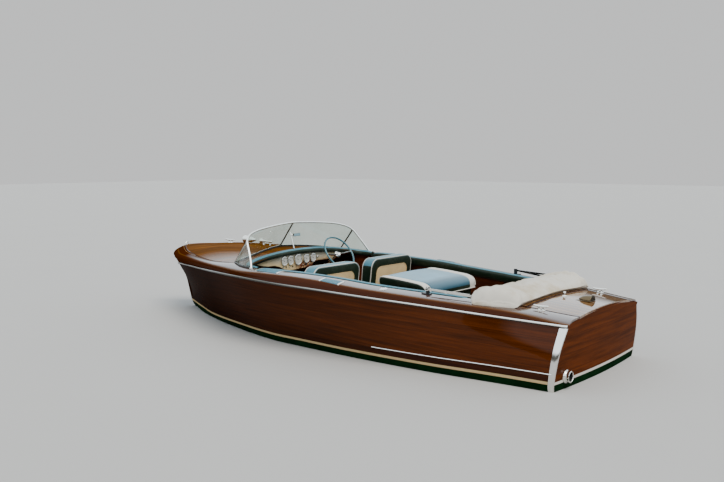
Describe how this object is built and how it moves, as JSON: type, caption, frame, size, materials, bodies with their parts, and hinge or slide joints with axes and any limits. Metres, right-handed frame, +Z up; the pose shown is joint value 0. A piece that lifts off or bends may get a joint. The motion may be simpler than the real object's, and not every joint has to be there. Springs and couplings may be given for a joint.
{
  "type": "runabout",
  "caption": "Varnished wooden inboard runabout afloat, with raked windshield, two front seats, padded engine box, aft bench, folded top and rudder gear.",
  "frame": {"origin": "on the waterline amidships, on the centre line, where the water holds the boat", "axes": "+X forward along the boat, +Y to port, +Z up out of the water"},
  "size_m": [6.3718, 2.4598, 1.7655],
  "materials": {
    "side_wood": "dark red-brown stained mahogany under gloss varnish",
    "transom_wood": "red-brown mahogany under gloss varnish",
    "board_wood": "red-brown covering boards under gloss varnish",
    "deck_wood": "golden-brown deck planks with pale seams, gloss varnish",
    "lining_wood": "dark varnished mahogany",
    "floor_wood": "worn varnished floor boards",
    "bottom_paint": "dark green satin bottom paint on wood",
    "chrome": "polished chrome",
    "green_vinyl": "dark green vinyl upholstery",
    "blue_vinyl": "pale blue-green vinyl upholstery",
    "tan_panel": "satin tan dash panel",
    "wheel_rim": "glossy blue-green rim with chrome spokes",
    "shield_glass": "clear laminated glass",
    "bronze": "dull marine bronze",
    "engine_iron": "painted cast iron",
    "canvas": "off-white canvas",
    "top_bar": "dark painted bars"
  },
  "bodies": {
    "root": {"topside_port": "side_wood", "topside_starboard": "side_wood", "transom": "transom_wood", "covering_board_port": "board_wood", "covering_board_starboard": "board_wood", "foredeck": "deck_wood", "aft_deck": "deck_wood", "hull_bottom": "bottom_paint", "forward_bulkhead": "lining_wood", "aft_bulkhead": "lining_wood", "cockpit_floor": "floor_wood", "cockpit_lining_port": "lining_wood", "cockpit_lining_starboard": "lining_wood", "dash_pad": "green_vinyl", "coaming_pad_port": "green_vinyl", "coaming_pad_starboard": "green_vinyl", "dash_panel": "tan_panel", "steering_column": "chrome", "seat_base_port": "green_vinyl", "seat_base_starboard": "green_vinyl", "seat_cushion_port": "blue_vinyl", "seat_cushion_starboard": "blue_vinyl", "seat_back_port": "green_vinyl", "seat_back_starboard": "green_vinyl", "engine_block": "engine_iron", "engine_box": "lining_wood", "bench_base": "lining_wood", "bench_cushion": "blue_vinyl", "bench_back": "green_vinyl", "windshield_frame": "chrome", "windshield_glass_port": "shield_glass", "windshield_glass_starboard": "shield_glass", "wing_glass_port": "shield_glass", "wing_glass_starboard": "shield_glass", "windshield_post": "chrome", "rub_rail_port": "chrome", "rub_rail_starboard": "chrome", "bow_cleat": "chrome", "bow_chock": "chrome", "searchlight": "chrome", "deck_horn": "chrome", "stern_cleat_port": "chrome", "stern_cleat_starboard": "chrome", "light_socket": "chrome", "deck_vent": "chrome", "exhaust_outlet": "chrome", "shaft_strut": "bronze", "top_hinge_port": "chrome", "top_hinge_starboard": "chrome"},
    "helm": {"steering_wheel": "wheel_rim"},
    "rudder_blade": {"rudder": "bronze"},
    "screw": {"propeller": "bronze"},
    "hatch": {"engine_hatch": "lining_wood", "hatch_pad": "blue_vinyl"},
    "folded_top": {"top_boot": "canvas", "top_bows_port": "top_bar", "top_bows_starboard": "top_bar"}
  },
  "joints": [
    {"name": "steering", "type": "hinge", "parent": "root", "child": "helm", "pos_m": [0.66, -0.47, 0.845], "axis": [0.809, 0, -0.5878], "range_deg": [-360, 360]},
    {"name": "rudder_turn", "type": "hinge", "parent": "root", "child": "rudder_blade", "pos_m": [-2.7, 0, -0.3], "axis": [0, 0, 1], "range_deg": [-36, 36]},
    {"name": "screw_spin", "type": "hinge", "parent": "root", "child": "screw", "pos_m": [-2.45, 0, -0.39883], "axis": [0.9935, 0, 0.1138], "continuous": true},
    {"name": "hatch_lift", "type": "hinge", "parent": "root", "child": "hatch", "pos_m": [-0.715, 0, 0.6553], "axis": [0, 1, 0], "range_deg": [0, 75]},
    {"name": "top_lift", "type": "hinge", "parent": "root", "child": "folded_top", "pos_m": [-1.6, 0, 0.772], "axis": [0, 1, 0], "range_deg": [0, 80]}
  ],
  "couplings": [
    {"joint": "rudder_turn", "follows": "steering", "ratio": 0.0972}
  ]
}
